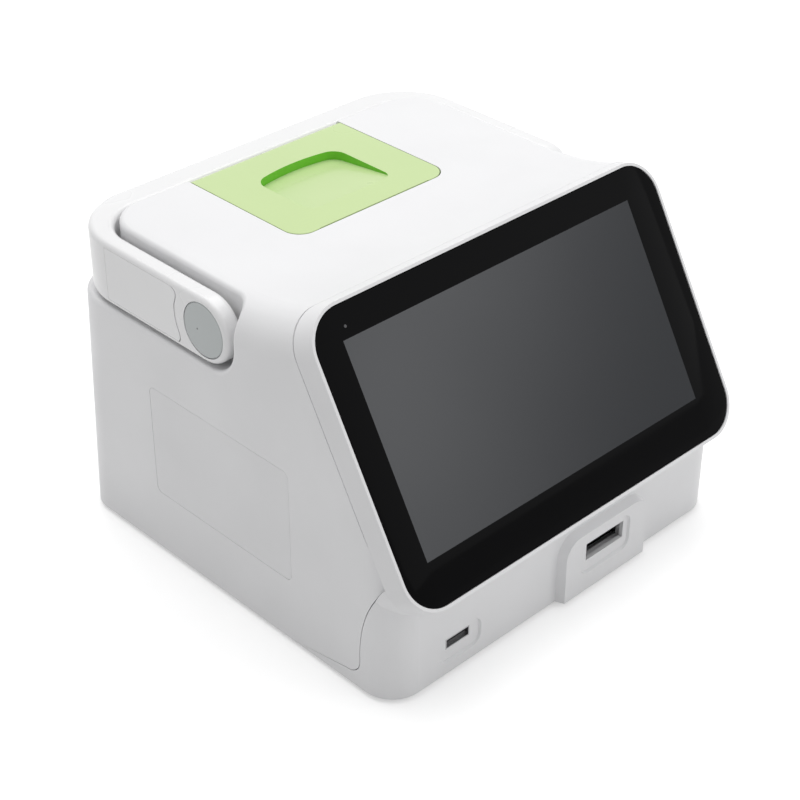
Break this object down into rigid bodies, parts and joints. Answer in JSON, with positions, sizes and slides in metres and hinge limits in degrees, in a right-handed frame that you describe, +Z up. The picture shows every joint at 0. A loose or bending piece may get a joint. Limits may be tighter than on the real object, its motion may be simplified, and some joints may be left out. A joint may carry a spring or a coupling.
{
  "type": "rapid test reader",
  "caption": "Desktop rapid test reader: sloping touch display, swinging carry handle, green printer lid, cassette slot and data socket in front, mains inlet and sockets at the rear.",
  "frame": {"origin": "on the surface that the feet stand on, under the middle of the object", "axes": "+Z up, -Y out of the front with the display and the slot, +X to the right seen from the front"},
  "size_m": [0.192, 0.2014, 0.1502],
  "materials": {
    "casing_white": "satin",
    "handle_white": "satin",
    "cap_grey": "fine matt",
    "lid_green": "satin",
    "glass_black": "polished glass, printed black behind",
    "display_dark": "display, switched off",
    "label_white": "satin film",
    "rubber_grey": "matt",
    "steel": "bright",
    "sheet_metal": "zinc plated",
    "bronze": "turned",
    "plastic_pale": "moulded",
    "plastic_dark": "moulded",
    "board_green": "solder resist",
    "platen_rubber": "ground",
    "paper_white": "thermal paper",
    "paper_brown": "cardboard",
    "lens_glass": "polished"
  },
  "bodies": {
    "housing": {"main_casing": "casing_white", "front_casing": "casing_white", "base_plate": "casing_white", "rubber_feet": "rubber_grey", "base_screws": "steel", "side_label": "label_white", "cover_glass": "glass_black", "display_panel": "display_dark", "display_bracket": "sheet_metal", "inner_screws": "steel", "display_driver_board": "board_green", "pivot_washers": "plastic_pale", "lid_hinge_pin": "steel", "tear_bar": "steel", "printer_frame": "sheet_metal", "print_head": "plastic_dark", "head_spring": "steel", "idler_pin": "steel", "printer_motor": "sheet_metal", "paper_bucket": "plastic_pale", "reader_chassis": "plastic_dark", "guide_rods": "steel", "drive_motor": "sheet_metal", "motor_bracket": "sheet_metal", "optics_arch": "sheet_metal", "optical_head": "plastic_dark", "objective_lens": "lens_glass", "light_board": "board_green", "detector_board": "board_green", "main_board": "board_green", "board_standoffs": "bronze", "power_supply": "board_green", "front_port_shell": "steel", "front_port_tongue": "plastic_dark", "speaker": "plastic_dark", "power_inlet": "plastic_dark", "inlet_pins": "steel", "switch_body": "plastic_dark", "network_port": "plastic_dark", "rear_usb_ports": "plastic_dark", "rear_socket_board": "board_green"},
    "handle": {"carry_handle": "handle_white", "handle_inlays": "handle_white", "pivot_caps": "cap_grey", "pivot_bushes": "plastic_pale", "pivot_screws": "steel"},
    "lid": {"printer_lid": "lid_green"},
    "platen": {"platen_roller": "platen_rubber", "platen_shaft": "steel", "platen_gear": "plastic_pale"},
    "idler": {"idler_gear": "plastic_pale"},
    "motor_rotor": {"motor_pinion": "steel"},
    "paper": {"paper_roll": "paper_white", "paper_core": "paper_brown"},
    "carriage": {"cassette_carriage": "plastic_dark", "carriage_bushes": "bronze", "carriage_rack": "plastic_pale"},
    "drive_rotor": {"drive_pinion": "steel"},
    "rocker": {"switch_rocker": "plastic_dark"}
  },
  "joints": [
    {"name": "handle_swing", "type": "hinge", "parent": "housing", "child": "handle", "pos_m": [0, 0.0111, 0.123], "axis": [1, 0, 0], "range_deg": [0, 95]},
    {"name": "lid_open", "type": "hinge", "parent": "housing", "child": "lid", "pos_m": [0, 0.0806, 0.1361], "axis": [-1, 0, 0], "range_deg": [0, 85]},
    {"name": "platen_spin", "type": "hinge", "parent": "housing", "child": "platen", "pos_m": [0, 0.023, 0.127], "axis": [1, 0, 0], "continuous": true},
    {"name": "idler_spin", "type": "hinge", "parent": "housing", "child": "idler", "pos_m": [0.0355, 0.01639, 0.11216], "axis": [1, 0, 0], "continuous": true},
    {"name": "motor_spin", "type": "hinge", "parent": "housing", "child": "motor_rotor", "pos_m": [0.0355, 0.01771, 0.09957], "axis": [1, 0, 0], "continuous": true},
    {"name": "paper_spin", "type": "hinge", "parent": "housing", "child": "paper", "pos_m": [0, 0.0525, 0.109], "axis": [1, 0, 0], "continuous": true},
    {"name": "carriage_slide", "type": "slide", "parent": "housing", "child": "carriage", "axis": [0, 1, 0], "range_m": [0, 0.045]},
    {"name": "drive_spin", "type": "hinge", "parent": "housing", "child": "drive_rotor", "pos_m": [0.00125, -0.018, 0.0178], "axis": [0, 0, 1], "range_deg": [-5, 413]},
    {"name": "power_rock", "type": "hinge", "parent": "housing", "child": "rocker", "pos_m": [-0.028, 0.0952, 0.032], "axis": [1, 0, 0], "range_deg": [0, 18]}
  ],
  "couplings": [
    {"joint": "idler_spin", "follows": "platen_spin", "ratio": -0.8},
    {"joint": "motor_spin", "follows": "platen_spin", "ratio": 2},
    {"joint": "drive_spin", "follows": "carriage_slide", "rad_per_m": 156.25}
  ]
}
